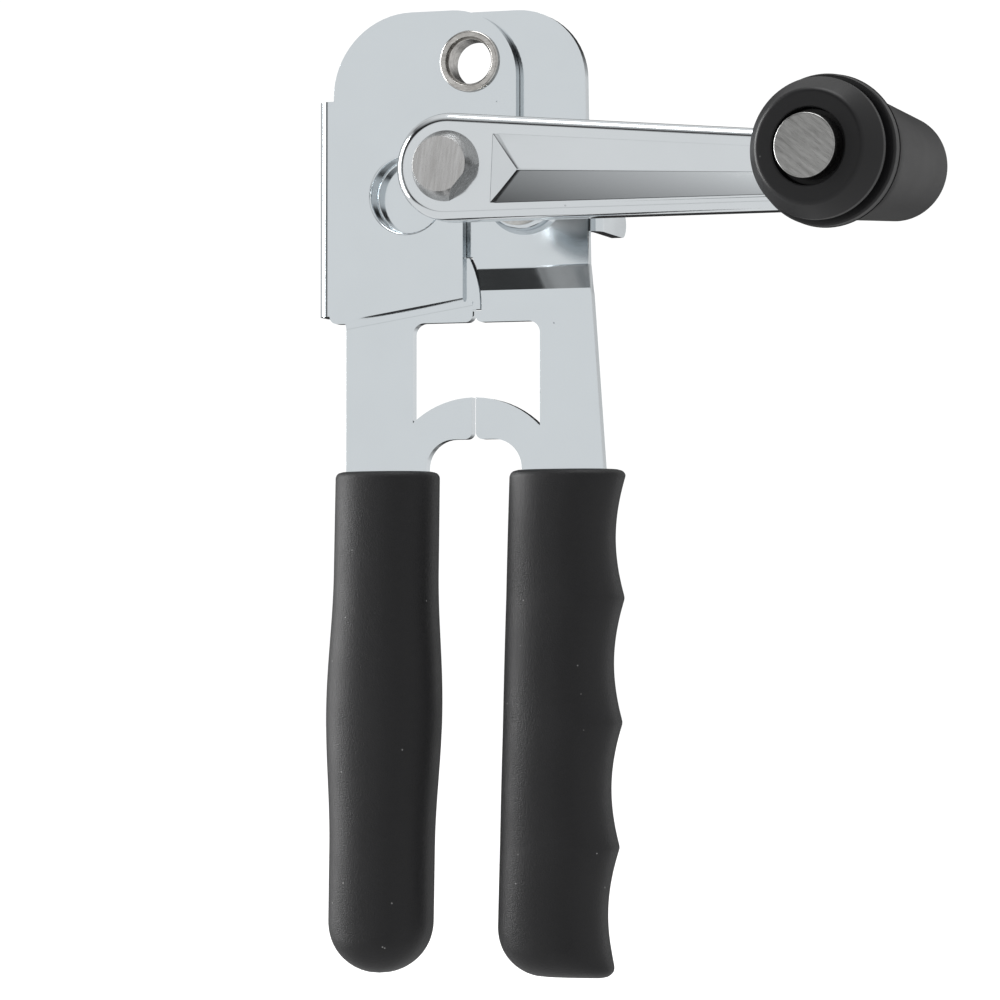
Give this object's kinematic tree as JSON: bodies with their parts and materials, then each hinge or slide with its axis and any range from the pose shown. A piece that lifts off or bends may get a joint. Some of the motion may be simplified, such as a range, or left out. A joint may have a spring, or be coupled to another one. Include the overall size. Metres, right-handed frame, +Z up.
{
  "type": "manual can opener",
  "caption": "Hand-held can opener: two hinged handles with moulded grips, a long crank with a round knob, meshed gears, cutter and feed wheels, and a bottle-opener gap.",
  "frame": {"origin": "on the pivot's axis, at the middle of the lower plates' sheet thickness; the pivot is also the hanging hole", "axes": "+Z runs up from the grips to the pivot, +X points to the crank's side, +Y points away from the crank, along the pivot's axis"},
  "size_m": [0.1484, 0.1235, 0.2033],
  "materials": {
    "chromed_sheet": "polished",
    "chromed_casting": "polished",
    "steel": "brushed",
    "hard_steel": "satin",
    "bronze": "satin",
    "grip": "matt, finely grained",
    "knob": "satin"
  },
  "bodies": {
    "left_handle": {"left_frame": "chromed_sheet", "left_grip": "grip", "pivot_eyelet": "steel", "pivot_washer": "steel", "cutter_stud": "steel", "cutter_screw": "steel", "cutter_spring_washer": "hard_steel"},
    "cutter": {"cutter_gear": "hard_steel", "cutter_wheel": "hard_steel"},
    "right_handle": {"right_frame": "chromed_sheet", "right_grip": "grip", "shaft_bushing": "bronze"},
    "crank": {"drive_shaft": "steel", "thrust_washer": "steel", "gear_spacer": "steel", "drive_gear": "hard_steel", "feed_wheel": "hard_steel", "lock_washer": "steel", "feed_nut": "steel", "crank_arm": "chromed_casting", "knob_axle": "steel", "knob_washer": "steel"},
    "knob": {"knob_body": "knob", "knob_cap": "knob"}
  },
  "joints": [
    {"name": "handle_pivot", "type": "hinge", "parent": "left_handle", "child": "right_handle", "pos_m": [0, 0, 0], "axis": [0, -1, 0], "range_deg": [0, 40]},
    {"name": "crank_spin", "type": "hinge", "parent": "right_handle", "child": "crank", "pos_m": [0.0114, 0, -0.0278], "axis": [0, -1, 0], "continuous": true},
    {"name": "cutter_spin", "type": "hinge", "parent": "left_handle", "child": "cutter", "pos_m": [-0.0141, 0, -0.0278], "axis": [0, -1, 0], "continuous": true},
    {"name": "knob_spin", "type": "hinge", "parent": "crank", "child": "knob", "pos_m": [0.10431, -0.05185, -0.03186], "axis": [-0.1295, -0.9915, -0.0136], "continuous": true}
  ],
  "couplings": [
    {"joint": "cutter_spin", "follows": "crank_spin", "ratio": -1}
  ]
}
